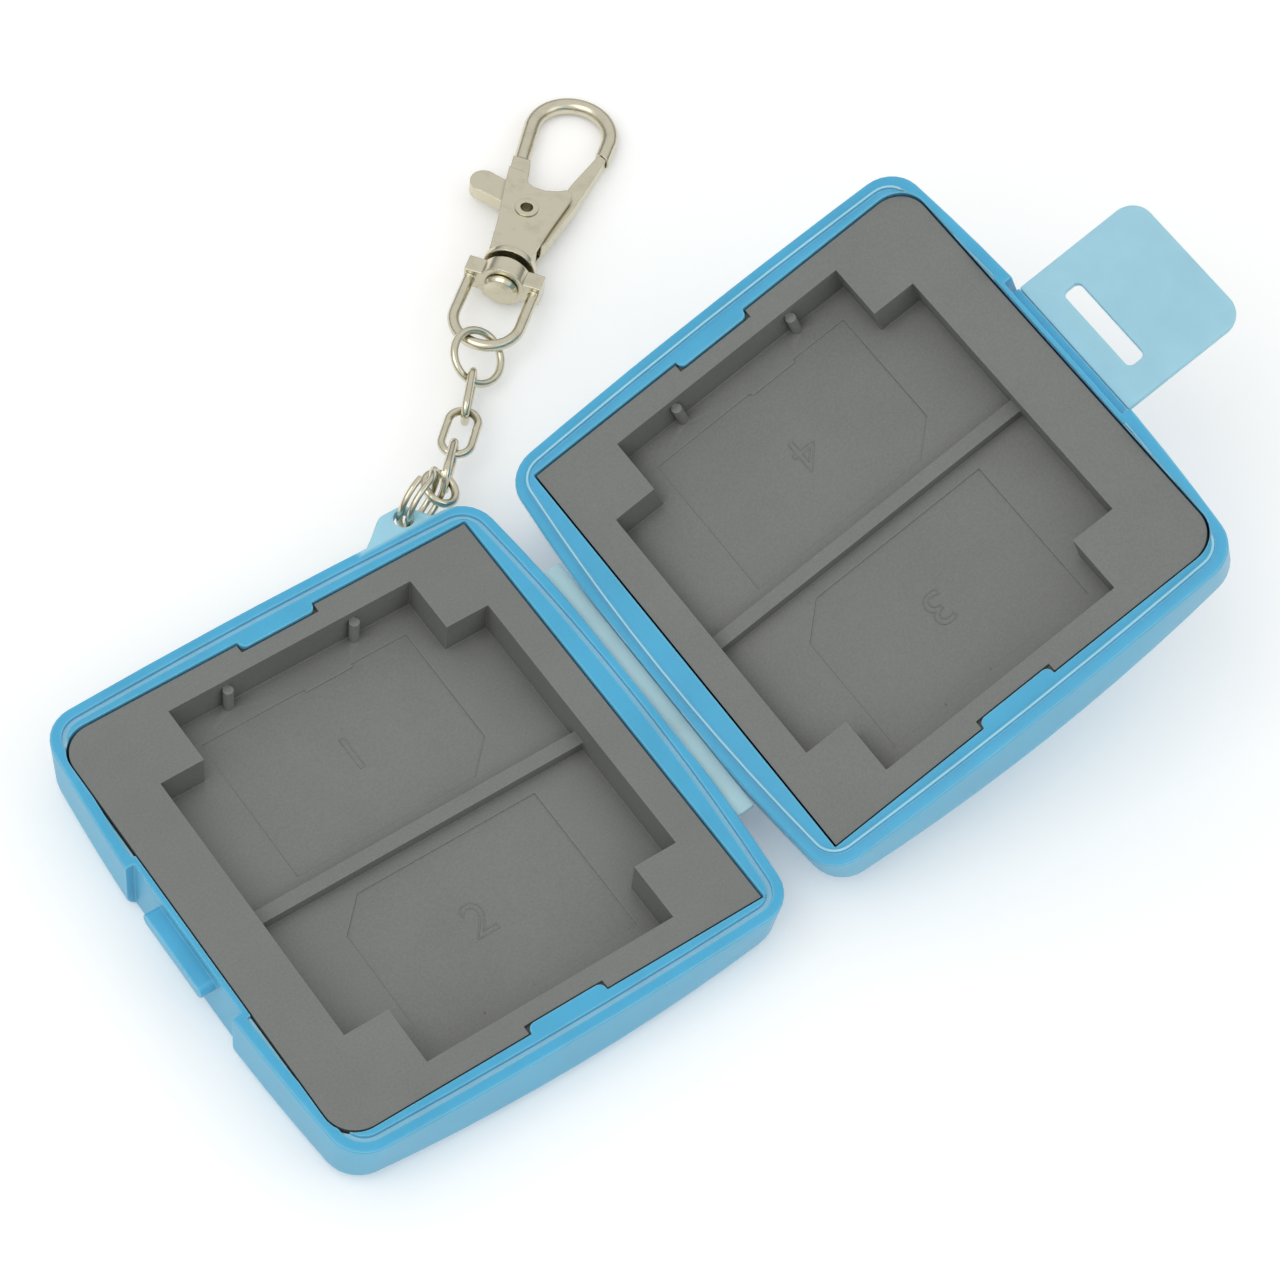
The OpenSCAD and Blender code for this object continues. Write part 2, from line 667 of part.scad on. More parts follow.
// Fixed hook: a tapered root, a straight bar, a bow and a short straight end at the gate.
// The straight bars are a hair thinner than the bow, and their ends lie inside it.
module hook() {
    lean = 5;
    bar_d = hook_bar - 0.04;
    bar_over = 0.3;
    end_len = 0.66 * hook_r;
    from = [hook_s - hook_r * sin(lean), hook_t + hook_r * cos(lean)];
    root_t = hook_bar + 0.3;
    translate([0, 0, -root_t / 2]) linear_extrude(root_t) polygon(on_body([
        [1.12, 0.492], [1.433, 0.532], [1.433, 0.287], [1.19, 0.222], [1.12, 0.21]]));
    difference() {
        union() {
            translate([from[0], from[1], 0]) rotate([0, 0, lean]) rotate([0, -90, 0])
                translate([0, 0, -bar_over])
                    cylinder(d = bar_d, h = bar_over + from[0] - body_s - 1.15 * body_len);
            translate([hook_s, hook_t, 0]) rotate([0, 0, -90]) rotate_extrude(angle = 180 + lean)
                translate([hook_r, 0]) circle(d = hook_bar, $fn = 32);
            translate([hook_s + bar_over, hook_t - hook_r, 0]) rotate([0, -90, 0])
                cylinder(d = bar_d, h = bar_over + end_len);
        }
        translate([pivot_s, pivot_t, -clip_t]) intersection() {
            cylinder(r = gate_end_r + link_gap, h = 2 * clip_t, $fn = 96);
            translate([0, -3 * hook_r, 0]) cube([2 * gate_end_r, 2.6 * hook_r, 2 * clip_t]);
        }
    }
}

module clip_lever() {
    gate_t = hook_t - hook_r;
    gate_s = hook_s - 2;
    thumb_r = 0.218 * thumb_len;
    eye_r = 0.268 * body_w1;
    color([0.78, 0.77, 0.69]) as_clip() translate([0, 0, -lever_t / 2]) difference() {
        intersection() {
            union() {
                translate([pivot_s, pivot_t, 0]) cylinder(r = eye_r, h = lever_t);
                translate([pivot_s, pivot_t, 0]) linear_extrude(lever_t) polygon([for (p = [
                    [0.02, 0.15], [0.093, 0.404], [0.187, 0.777], [0.62, 0.767], [0.528, 0.435],
                    [0.269, -0.062]]) thumb_len * p]);
                translate([pivot_s + 0.404 * thumb_len, pivot_t + thumb_len - thumb_r, 0])
                    cylinder(r = thumb_r, h = lever_t);
                linear_extrude(lever_t) polygon(concat(on_body([
                    [0.851, 0.019], [0.522, -0.046], [0.299, -0.204], [0.284, -0.31],
                    [0.381, -0.366], [0.985, -0.519]]), [
                    [gate_s, gate_t - 0.4 * hook_bar], [gate_s, gate_t + 0.08 * hook_bar]], on_body([
                    [1.265, -0.347], [1.104, -0.31], [0.91, -0.111]])));
            }
            translate([pivot_s, pivot_t, -1]) cylinder(r = gate_end_r, h = lever_t + 2, $fn = 96);
        }
        translate([pivot_s, pivot_t, -1]) cylinder(r = rivet_r + rivet_clear, h = lever_t + 2);
    }
}

module clip_rivet() {
    lip = 0.25;
    color([0.78, 0.77, 0.69]) as_clip() translate([pivot_s, pivot_t, 0]) difference() {
        union() {
            cylinder(r = rivet_r, h = clip_t + 2 * lip, center = true);
            for (k = [-1, 1]) translate([0, 0, k * (clip_t + lip) / 2])
                cylinder(r = rivet_head_r, h = lip, center = true);
        }
        cylinder(r = rivet_hole_r, h = 2 * clip_t, center = true);
    }
}

base_shell();
base_tray();
hinge_strip();
lid_shell();
lid_tray();
latch_flap();
lug_ring();
jump_ring();
chain_link_1();
chain_link_2();
chain_link_3();
round_ring();
swivel_yoke();
swivel_rivet();
clip_body();
clip_lever();
clip_rivet();
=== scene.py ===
"""Looks of a memory card case with its chain and swivel clip, laid out as an add-on."""
import json
import math

import bmesh
import bpy
import numpy as np
from mathutils import Matrix, Vector


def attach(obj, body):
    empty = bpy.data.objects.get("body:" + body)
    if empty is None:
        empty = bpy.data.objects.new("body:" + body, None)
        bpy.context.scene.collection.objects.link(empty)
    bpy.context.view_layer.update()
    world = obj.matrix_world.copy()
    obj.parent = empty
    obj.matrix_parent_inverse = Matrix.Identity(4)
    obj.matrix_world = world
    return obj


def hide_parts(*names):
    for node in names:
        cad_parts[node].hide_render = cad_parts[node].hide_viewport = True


bl_info = {
    "name": "Memory Card Case",
    "version": (1, 0, 0),
    "blender": (4, 5, 0),
    "location": "View3D > Sidebar > Card Case",
    "description": "Dresses a memory card case, its chain and its clip",
    "category": "Object",
}

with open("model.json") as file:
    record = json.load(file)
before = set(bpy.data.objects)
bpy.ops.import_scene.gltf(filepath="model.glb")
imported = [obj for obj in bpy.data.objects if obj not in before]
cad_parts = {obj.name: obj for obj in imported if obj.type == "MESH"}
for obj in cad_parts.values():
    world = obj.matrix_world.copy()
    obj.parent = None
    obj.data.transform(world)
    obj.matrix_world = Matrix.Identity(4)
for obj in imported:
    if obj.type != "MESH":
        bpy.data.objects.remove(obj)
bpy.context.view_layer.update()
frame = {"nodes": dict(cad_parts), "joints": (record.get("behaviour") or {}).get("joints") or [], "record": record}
JOINTS = {joint["name"]: joint for joint in frame["joints"]}
BODY_OF = {node: body for body, nodes in frame["record"]["behaviour"]["bodies"].items() for node in nodes}

MM = 0.001
WELD = 1e-6

# Edges that turn less than FLAT are part of one face, more than ROUNDED get a moulded
# edge, and more than SMOOTH are drawn sharp
FLAT = math.radians(0.5)
ROUNDED = math.radians(30)
SMOOTH = math.radians(38)


def linear(hex_code):
    """Turns an sRGB hex value into the linear colour that Blender uses."""
    parts = [int(hex_code[i:i + 2], 16) / 255 for i in (0, 2, 4)]
    return tuple(p / 12.92 if p <= 0.04045 else ((p + 0.055) / 1.055) ** 2.4 for p in parts)


def colour_prop(name, description, hex_code):
    return bpy.props.FloatVectorProperty(
        name=name, description=description, default=linear(hex_code),
        subtype="COLOR", size=3, min=0, max=1)


def length_prop(name, description, size_mm):
    return bpy.props.FloatProperty(
        name=name, description=description, default=size_mm * MM, min=0,
        unit="LENGTH", subtype="DISTANCE", precision=5)


class CardCaseColours(bpy.types.PropertyGroup):
    shell: colour_prop("Shell", "Thick moulded shell", "4AADD5")
    # Painted highlight: pale colour laid on rounded edges and on the groove and bead
    shell_highlight: colour_prop("Shell edge", "Thin rounded edges, where more light comes through", "A9D9E8")
    # Painted light: paler colour given to the side-facing walls of the shells
    shell_side_light: colour_prop("Shell wall", "Thin outer walls seen from the side", "5AAED0")
    # Painted light coming through thin plastic: pale colour of the lug and the latch flap
    thin: colour_prop("Thin parts", "Lug and latch flap, which are thin enough to look pale", "A8DAEA")
    strip: colour_prop("Hinge strip", "Strip between the two bend lines", "AFD0D6")
    tray: colour_prop("Tray", "Grey card tray", "777976")
    metal: colour_prop("Plating", "Warm nickel plating", "D8D2BC")
    metal_worn: colour_prop("Worn plating", "Tarnish in corners and worn places", "7F7862")
    floor: colour_prop("Floor", "Pale studio floor", "F7F7F6")


class CardCaseSizes(bpy.types.PropertyGroup):
    shell_round: length_prop("Shell edge radius", "Rounding of the shell's moulded edges", 0.16)
    tray_round: length_prop("Tray edge radius", "Rounding of the tray's moulded edges", 0.1)
    flap_round: length_prop("Flap edge radius", "Rounding of the latch flap's edges", 0.22)
    cast_step: length_prop("Cast metal step", "Mesh step of the die-cast pieces", 0.1)
    digit_height: length_prop("Number height", "Height of the numbers on the tray floors", 5.2)
    digit_line: length_prop("Number line", "Half the width of the raised lines", 0.1)
    split_wire: length_prop("Split ring wire", "Wire diameter of the split ring", 0.9)


class CardCaseStage(bpy.types.PropertyGroup):
    lens: bpy.props.FloatProperty(
        name="Lens", description="Focal length of the camera", default=120.38, min=20, unit="CAMERA")
    sky: bpy.props.FloatProperty(
        name="Sky", description="Brightness straight above", default=0.8, min=0)
    horizon: bpy.props.FloatProperty(
        name="Horizon", description="Brightness at the horizon", default=0.14, min=0)
    floor_glow: bpy.props.FloatProperty(
        name="Floor glow", description="Light of the floor itself, like a lit white table", default=0.16, min=0)
    key: bpy.props.FloatProperty(
        name="Key light", description="Power of the large soft light", default=3.4, min=0, unit="POWER")
    fill: bpy.props.FloatProperty(
        name="Fill light", description="Power of the low soft light", default=0.9, min=0, unit="POWER")


def add(tree, kind, sockets=None, **settings):
    """Adds a node with its settings, and links or sets each socket that is named."""
    item = tree.nodes.new(kind)
    for key, value in settings.items():
        setattr(item, key, value)
    for key, value in (sockets or {}).items():
        if isinstance(value, bpy.types.NodeSocket):
            tree.links.new(value, item.inputs[key])
        else:
            item.inputs[key].default_value = value
    return item


def start_material(name):
    """New material with an empty shader, and the surface's own coordinates in metres."""
    material = bpy.data.materials.new(name)
    material.use_nodes = True
    tree = material.node_tree
    tree.nodes.clear()
    shader = add(tree, "ShaderNodeBsdfPrincipled")
    add(tree, "ShaderNodeOutputMaterial", {"Surface": shader.outputs["BSDF"]})
    place = add(tree, "ShaderNodeTexCoord").outputs["Object"]
    return material, tree, shader, place


def rgba(colour):
    return (*colour, 1)


def ramp(tree, value, start, end, low=0.0, high=1.0):
    """Value that runs from low to high while the input runs from start to end."""
    return add(tree, "ShaderNodeMapRange", {
        "Value": value, "From Min": start, "From Max": end, "To Min": low, "To Max": high}).outputs["Result"]


def maths(tree, operation, *values):
    """Result of one sum on one or two values."""
    return add(tree, "ShaderNodeMath", dict(enumerate(values)), operation=operation).outputs["Value"]


def dot(tree, first, second):
    """How far two directions agree, or a place's height along a direction."""
    return add(tree, "ShaderNodeVectorMath", {0: first, 1: second}, operation="DOT_PRODUCT").outputs["Value"]


def mixed(tree, share, first, second):
    """Colour that turns from the first to the second as the share grows."""
    return add(tree, "ShaderNodeMix", {0: share, 6: first, 7: second}, data_type="RGBA").outputs[2]


def shaded(tree, colour, value):
    """Colour made darker or lighter by the value."""
    return add(tree, "ShaderNodeHueSaturation", {"Value": value, "Color": colour}).outputs["Color"]


def noise(tree, place, size, detail, roughness=0.5):
    """Cloudy pattern with marks about as wide as the size."""
    return add(tree, "ShaderNodeTexNoise", {
        "Vector": place, "Scale": 1 / size, "Detail": detail, "Roughness": roughness}).outputs["Fac"]


def flatness(tree, radius):
    """One on flat faces, and less where an edge lies within the radius."""
    surface = add(tree, "ShaderNodeNewGeometry").outputs["Normal"]
    rounded = add(tree, "ShaderNodeBevel", {"Radius": radius}, samples=6).outputs["Normal"]
    return dot(tree, rounded, surface)


def openness(tree, distance, samples):
    """One on open faces, and less in corners and recesses within the distance."""
    return add(tree, "ShaderNodeAmbientOcclusion", {"Distance": distance}, samples=samples).outputs["AO"]


def dress(tree, shader, colour, gloss, height, strength, depth):
    """Links colour and roughness to the shader, and a fine relief of the given strength and depth."""
    relief = add(tree, "ShaderNodeBump", {"Height": height, "Strength": strength, "Distance": depth})
    tree.links.new(colour, shader.inputs["Base Color"])
    tree.links.new(gloss, shader.inputs["Roughness"])
    tree.links.new(relief.outputs["Normal"], shader.inputs["Normal"])


def rim_highlight(tree, place, rim_at, rim_up):
    """Picks out the up-facing faces a little below or above the rim, the sealing groove and the bead, for a
    painted highlight.
    """
    offset = add(tree, "ShaderNodeVectorMath", {0: place, 1: rim_at}, operation="SUBTRACT").outputs["Vector"]
    away = maths(tree, "ABSOLUTE", dot(tree, offset, rim_up))
    level = maths(tree, "MINIMUM", ramp(tree, away, 0.08 * MM, 0.22 * MM), ramp(tree, away, 0.9 * MM, 0.8 * MM))
    facing = dot(tree, add(tree, "ShaderNodeTexCoord").outputs["Normal"], rim_up)
    return maths(tree, "MINIMUM", level, ramp(tree, facing, 0.5, 0.9, 0, 0.75))


def light_through_lug(tree, place, lug, reach, rim_edge):
    """Picks out what lies near the lug and past the edge of the rim, for painted light coming through the thin
    lug.
    """
    away = add(tree, "ShaderNodeVectorMath", {0: place, 1: lug}, operation="DISTANCE").outputs["Value"]
    outward = add(tree, "ShaderNodeSeparateXYZ", {0: place}).outputs["Y"]
    past_rim = ramp(tree, outward, rim_edge - 0.4 * MM, rim_edge + 0.3 * MM, 0, 0.9)
    return maths(tree, "MINIMUM", ramp(tree, away, reach, reach * 0.85), past_rim)


def polypropylene(name, body, edge, side_light=None, thin=None, lug=None, rim=None,
                  depth=1.6 * MM, see_through=0.0, roughness=0.36):
    """Moulded polypropylene: satin and faintly cloudy, with painted light that makes it paler where it is thin.

    The eye gets a soft sheen, milky flow marks a few millimetres wide, a fine
    spark-eroded grain of about 0.3 mm, a painted highlight on the edges, groove and bead,
    and painted light on the side walls and coming through the lug.
    """
    material, tree, shader, place = start_material(name)
    flow = noise(tree, place, 9 * MM, 3, 0.55)
    grain = noise(tree, place, 0.3 * MM, 2, 0.6)
    colour = rgba(body)
    # Painted light: faces that turn sideways take the paler side colour
    if side_light:
        facing = add(tree, "ShaderNodeSeparateXYZ", {
            0: add(tree, "ShaderNodeTexCoord").outputs["Normal"]}).outputs["Z"]
        colour = mixed(tree, ramp(tree, facing, 0.75, 0.15), colour, rgba(side_light))
    # Painted light coming through the thin lug: the pale colour is mixed in near it
    if lug:
        colour = mixed(tree, light_through_lug(tree, place, lug, LUG_REACH, RIM_EDGE), colour, rgba(thin))
    # Painted highlight: the groove and bead just off the rim take the pale edge colour
    if rim:
        colour = mixed(tree, rim_highlight(tree, place, *rim), colour, rgba(edge))
    # Painted highlight: the pale edge colour is mixed in on rounded edges
    edge_highlight = ramp(tree, flatness(tree, 0.35 * MM), 0.995, 0.86, 0, 0.7)
    colour = mixed(tree, edge_highlight, colour, rgba(edge))
    colour = shaded(tree, colour, ramp(tree, flow, 0.3, 0.7, 0.95, 1.05))
    sheen = ramp(tree, flow, 0.3, 0.7, roughness - 0.05, roughness + 0.05)
    dress(tree, shader, colour, sheen, grain, 0.35, 0.02 * MM)
    shader.inputs["IOR"].default_value = 1.49
    shader.inputs["Subsurface Weight"].default_value = 0.3
    shader.inputs["Subsurface Radius"].default_value = (0.35, 0.8, 1.0)
    shader.inputs["Subsurface Scale"].default_value = depth
    shader.inputs["Transmission Weight"].default_value = see_through
    return material


def grained_polystyrene(name, body):
    """Moulded high-impact polystyrene: matt grey with a spark-eroded grain of about 0.2 mm.

    The eye gets an even matt grey, a painted highlight on its sharp edges, painted
    shade in the corners of the bays, and faint flow marks across the flat rims. The
    grain is drawn at 0.35 mm, since 0.2 mm is too fine to show.
    """
    material, tree, shader, place = start_material(name)
    flow = noise(tree, place, 14 * MM, 4, 0.6)
    grain = noise(tree, place, 0.35 * MM, 3, 0.7)
    mottled = maths(tree, "MULTIPLY", ramp(tree, flow, 0.3, 0.7, 0.94, 1.05),
                    ramp(tree, grain, 0.35, 0.65, 0.93, 1.07))
    # Painted highlight: the tray's sharp edges are made paler
    edge_highlight = ramp(tree, flatness(tree, 0.25 * MM), 0.99, 0.85, 1, 1.25)
    # Painted shade: the bays are darkened in their corners and recesses
    corner_shade = ramp(tree, openness(tree, 2.5 * MM, 4), 0.4, 0.8, 0.72, 1)
    # Mottled tone times the painted highlight and the painted shade
    light = maths(tree, "MULTIPLY", maths(tree, "MULTIPLY", mottled, edge_highlight), corner_shade)
    gloss = ramp(tree, flow, 0.3, 0.7, 0.5, 0.62)
    dress(tree, shader, shaded(tree, rgba(body), light), gloss, grain, 0.5, 0.025 * MM)
    shader.inputs["IOR"].default_value = 1.59
    shader.inputs["Specular IOR Level"].default_value = 0.35
    return material


def nickel_plate(name, body, worn, roughness, scratch):
    """Nickel plating on steel wire or die-cast zinc: warm, glossy and lightly worn.

    The eye gets sharp highlights, fine scratches along the piece, and a darker
    warm film where the plating meets a corner.
    """
    material, tree, shader, place = start_material(name)
    patch = noise(tree, place, 2.6 * MM, 4, 0.6)
    stretched = add(tree, "ShaderNodeMapping", {
        "Vector": place, "Rotation": (0.3, 0.2, math.radians(-38)),
        "Scale": (1 / (3.2 * MM), 1 / scratch, 1 / scratch)}).outputs["Vector"]
    scratches = noise(tree, stretched, 1, 3, 0.7)
    film = ramp(tree, openness(tree, 1.1 * MM, 8), 0.75, 0.2, 0, 0.8)
    stain = ramp(tree, patch, 0.52, 0.75, 0, 0.18)
    colour = mixed(tree, maths(tree, "MAXIMUM", film, stain), rgba(body), rgba(worn))
    gloss = ramp(tree, patch, 0.3, 0.75, roughness - 0.04, roughness + 0.06)
    dress(tree, shader, colour, gloss, scratches, 0.12, 0.008 * MM)
    shader.inputs["Metallic"].default_value = 1
    return material


def new_piece(name, mesh, material, node=None, body=None):
    """Links a finished mesh into the scene, riding on the body of the node that it stands for."""
    piece = bpy.data.objects.new(name, mesh)
    bpy.context.scene.collection.objects.link(piece)
    mesh.materials.clear()
    mesh.materials.append(material)
    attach(piece, body or BODY_OF[node])
    if node:
        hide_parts(node)
    return piece


def solid_bmesh(node):
    """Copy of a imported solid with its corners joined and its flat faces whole."""
    work = bmesh.new()
    work.from_mesh(frame["nodes"][node].data)
    bmesh.ops.remove_doubles(work, verts=work.verts, dist=WELD)
    bmesh.ops.dissolve_limit(
        work, angle_limit=FLAT, use_dissolve_boundaries=False,
        verts=work.verts, edges=work.edges, delimit={"NORMAL"})
    bmesh.ops.triangulate(work, faces=work.faces, quad_method="BEAUTY", ngon_method="BEAUTY")
    return work


def finish_mesh(work, name, sharp=SMOOTH):
    """Turns the working mesh into a mesh with smooth faces and marked sharp edges."""
    work.normal_update()
    for face in work.faces:
        face.smooth = True
    for edge in work.edges:
        edge.smooth = not edge.is_manifold or edge.calc_face_angle(0) < sharp
    mesh = bpy.data.meshes.new(name)
    work.to_mesh(mesh)
    work.free()
    return mesh


def rounded_solid(node, name, radius, material, steps=2, from_angle=ROUNDED):
    """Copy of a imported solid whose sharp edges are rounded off, as a mould leaves them."""
    work = solid_bmesh(node)
    edges = [e for e in work.edges if e.is_manifold and e.calc_face_angle(0) > from_angle]
    bmesh.ops.bevel(
        work, geom=edges, offset=radius, offset_type="OFFSET", segments=steps, profile=0.5,
        affect="EDGES", clamp_overlap=False, miter_outer="SHARP", miter_inner="SHARP")
    bmesh.ops.remove_doubles(work, verts=work.verts, dist=radius * 0.05)
    piece = new_piece(name, finish_mesh(work, name), material, node)
    even = piece.modifiers.new("Even shading", "WEIGHTED_NORMAL")
    even.keep_sharp = True
    return piece


def applied(piece):
    """Mesh of a piece with its modifiers worked in."""
    bpy.context.view_layer.update()
    return bpy.data.meshes.new_from_object(piece.evaluated_get(bpy.context.evaluated_depsgraph_get()))


def cast_solid(node, name, step, material, rounds=6):
    """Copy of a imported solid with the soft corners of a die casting.

    The even grid is laid along the swivel's axis, so that the flat cheeks stay flat.
    """
    work = solid_bmesh(node)
    turn = Vector(JOINTS["clip_swivel"]["axis"]).to_track_quat("X", "Z").to_matrix().to_4x4()
    work.transform(turn.inverted())
    rough = bpy.data.objects.new(name + "_rough", finish_mesh(work, name + "_rough"))
    bpy.context.scene.collection.objects.link(rough)
    grid = rough.modifiers.new("Even grid", "REMESH")
    grid.mode = "VOXEL"
    grid.voxel_size = step
    grid.use_smooth_shade = True
    soft = rough.modifiers.new("Soft corners", "SMOOTH")
    soft.factor = 0.5
    soft.iterations = rounds
    mesh = applied(rough)
    mesh.name = name
    bpy.data.objects.remove(rough)
    mesh.transform(turn)
    for face in mesh.polygons:
        face.use_smooth = True
    return new_piece(name, mesh, material, node)


def tube_mesh(name, path, radius, sides, closed):
    """Round wire along a path, closed on itself or with two cut ends."""
    count = len(path)
    work = bmesh.new()
    rings = []
    side = None
    for i, point in enumerate(path):
        ahead = path[(i + 1) % count] if closed else path[min(i + 1, count - 1)]
        behind = path[i - 1] if closed else path[max(i - 1, 0)]
        along = (ahead - behind).normalized()
        side = along.orthogonal() if side is None else side - along * side.dot(along)
        side.normalize()
        across = along.cross(side)
        rings.append([work.verts.new(point + radius * (
            math.cos(2 * math.pi * k / sides) * side + math.sin(2 * math.pi * k / sides) * across))
            for k in range(sides)])
    for i in range(count if closed else count - 1):
        here, there = rings[i], rings[(i + 1) % count]
        for k in range(sides):
            work.faces.new((here[k], here[(k + 1) % sides], there[(k + 1) % sides], there[k]))
    if not closed:
        work.faces.new(rings[0][::-1])
        work.faces.new(rings[-1])
        ends = [e for ring in (rings[0], rings[-1]) for e in work.edges
                if e.verts[0] in ring and e.verts[1] in ring]
        bmesh.ops.bevel(work, geom=ends, offset=radius * 0.3, segments=2, affect="EDGES", clamp_overlap=True)
    bmesh.ops.recalc_face_normals(work, faces=work.faces)
    return finish_mesh(work, name)


def own_axes(node):
    """Middle, axes and sizes of a packed wire piece: longest first, wire direction last."""
    mesh = frame["nodes"][node].data
    points = np.empty(len(mesh.vertices) * 3)
    mesh.vertices.foreach_get("co", points)
    points = np.unique(points.reshape(-1, 3).round(7), axis=0)
    middle = (points.max(0) + points.min(0)) / 2
    for _ in range(3):
        axes = np.linalg.svd(points - middle, full_matrices=False)[2]
        spread = (points - middle) @ axes.T
        middle = middle + ((spread.max(0) + spread.min(0)) / 2) @ axes
    sizes = spread.max(0) - spread.min(0)
    return Vector(middle), [Vector(a) for a in axes], [float(s) for s in sizes]


def wire_ring(node, name, material):
    """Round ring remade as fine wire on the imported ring's own circle."""
    middle, axes, sizes = own_axes(node)
    wire = sizes[2]
    around = ((sizes[0] + sizes[1]) / 2 - wire) / 2
    steps = 96
    path = [middle + around * (math.cos(2 * math.pi * i / steps) * axes[0]
                               + math.sin(2 * math.pi * i / steps) * axes[1]) for i in range(steps)]
    return new_piece(name, tube_mesh(name, path, wire / 2, 24, True), material, node)


def wire_link(node, name, material):
    """Long link remade as fine wire: two straight sides and two round ends."""
    middle, axes, sizes = own_axes(node)
    wire = sizes[2]
    bend = (sizes[1] - wire) / 2
    half = (sizes[0] - sizes[1]) / 2
    path = []
    steps = 28
    for end in (1, -1):
        for i in range(steps + 1):
            turn = math.pi * (i / steps - 0.5)
            path.append(middle + end * ((half + bend * math.cos(turn)) * axes[0]
                                        + bend * math.sin(turn) * axes[1]))
    return new_piece(name, tube_mesh(name, path, wire / 2, 24, True), material, node)


# Split ring: heading and fall of its middle from the lug, where its wire crosses over, the
# winding's radius and pitch, and the wire's start and length in degrees
SPLIT_TURN = math.radians(21.4)
SPLIT_FALL = math.radians(0.9)
SPLIT_CROSS = math.radians(60)
SPLIT_RADIUS = 4.4 * MM
SPLIT_PITCH = 1.35 * MM
CROSS_FROM, CROSS_TO = 335, 385
WIND_FROM, WIND_LENGTH = 25, 670


def split_ring(name, wire, material):
    """Split ring: one wire wound twice round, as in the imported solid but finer."""
    def shift(turn):
        if turn < CROSS_FROM:
            return -0.5
        if turn > CROSS_TO:
            return 0.5
        return -0.5 * math.cos(math.pi * (turn - CROSS_FROM) / (CROSS_TO - CROSS_FROM))

    lug = Vector(JOINTS["split_ring_turn"]["pos_m"])
    heading = Vector((math.cos(SPLIT_FALL) * math.cos(SPLIT_TURN),
                      math.cos(SPLIT_FALL) * math.sin(SPLIT_TURN), -math.sin(SPLIT_FALL)))
    set_in = (Matrix.Translation(lug + SPLIT_RADIUS * heading) @ Matrix.Rotation(SPLIT_TURN, 4, "Z")
              @ Matrix.Rotation(math.pi / 2, 4, "X") @ Matrix.Rotation(SPLIT_CROSS, 4, "Z"))
    steps = 220
    path = []
    for i in range(steps + 1):
        turn = WIND_FROM + WIND_LENGTH * i / steps
        flat = math.radians(turn)
        path.append(set_in @ Vector((SPLIT_RADIUS * math.cos(flat), SPLIT_RADIUS * math.sin(flat),
                                     SPLIT_PITCH * shift(turn))))
    mesh = tube_mesh(name, path, wire / 2, 20, False)
    return new_piece(name, mesh, material, "lug_ring")


# Tilt of the open lid, height and outer edge of a half's rim, and how far the painted light through the pale lug
# reaches
LID_TILT = math.radians(22.2)
RIM_HEIGHT = 10.8 * MM
RIM_EDGE = 37.1 * MM
LUG_REACH = 9 * MM
HALF_TO_BASE = Matrix.Identity(4)

# Places of the numbers on a tray floor, and a digit's height as a share of the type size
NUMBER_HIGH = Vector((0.2, 14.7, 4.65)) * MM
NUMBER_LOW = Vector((0.2, -14.8, 4.65)) * MM
DIGIT_SHARE = 0.7


def half_to_lid():
    """Matrix that carries a point of one half onto the open lid."""
    hinge = Vector(JOINTS["strip_fold"]["pos_m"])
    lid_hinge = Vector(JOINTS["lid_fold"]["pos_m"])
    across = Vector((math.cos(LID_TILT), 0, math.sin(LID_TILT)))
    upward = Vector((-math.sin(LID_TILT), 0, math.cos(LID_TILT)))
    shift = lid_hinge + hinge.x * across - hinge.z * upward
    return Matrix((
        (-across.x, 0, upward.x, shift.x),
        (0, -1, 0, shift.y),
        (-across.z, 0, upward.z, shift.z),
        (0, 0, 0, 1)))


def raised_digit(name, digit, centre, height, line, carry, material, body):
    """Plain number on a tray floor, drawn by its raised outline."""
    curve = bpy.data.curves.new(name, "FONT")
    curve.body = digit
    curve.size = height / DIGIT_SHARE
    curve.align_x = "CENTER"
    curve.align_y = "CENTER"
    curve.fill_mode = "NONE"
    curve.bevel_depth = line
    curve.bevel_resolution = 1
    curve.resolution_u = 6
    rough = bpy.data.objects.new(name + "_rough", curve)
    bpy.context.scene.collection.objects.link(rough)
    mesh = applied(rough)
    mesh.name = name
    bpy.data.objects.remove(rough)
    mesh.transform(carry @ Matrix.Translation(centre))
    return new_piece(name, mesh, material, body=body)


class CARDCASE_OT_shells(bpy.types.Operator):
    """Rounds off and colours the two moulded shells"""
    bl_idname = "cardcase.shells"
    bl_label = "Shells"

    def execute(self, context):
        colours, sizes = context.scene.card_case_colours, context.scene.card_case_sizes
        lug = JOINTS["split_ring_turn"]["pos_m"]
        for node, carry in (("base_shell", HALF_TO_BASE), ("lid_shell", half_to_lid())):
            rim = (carry @ Vector((0, 0, RIM_HEIGHT)), carry.to_3x3() @ Vector((0, 0, 1)))
            # The rim and the lug set where the painted highlight and the painted light through the lug fall
            plastic = polypropylene("moulded polypropylene of " + node, colours.shell, colours.shell_highlight,
                                    side_light=colours.shell_side_light, thin=colours.thin, lug=lug, rim=rim)
            rounded_solid(node, node + "_moulding", sizes.shell_round, plastic)
        return {"FINISHED"}


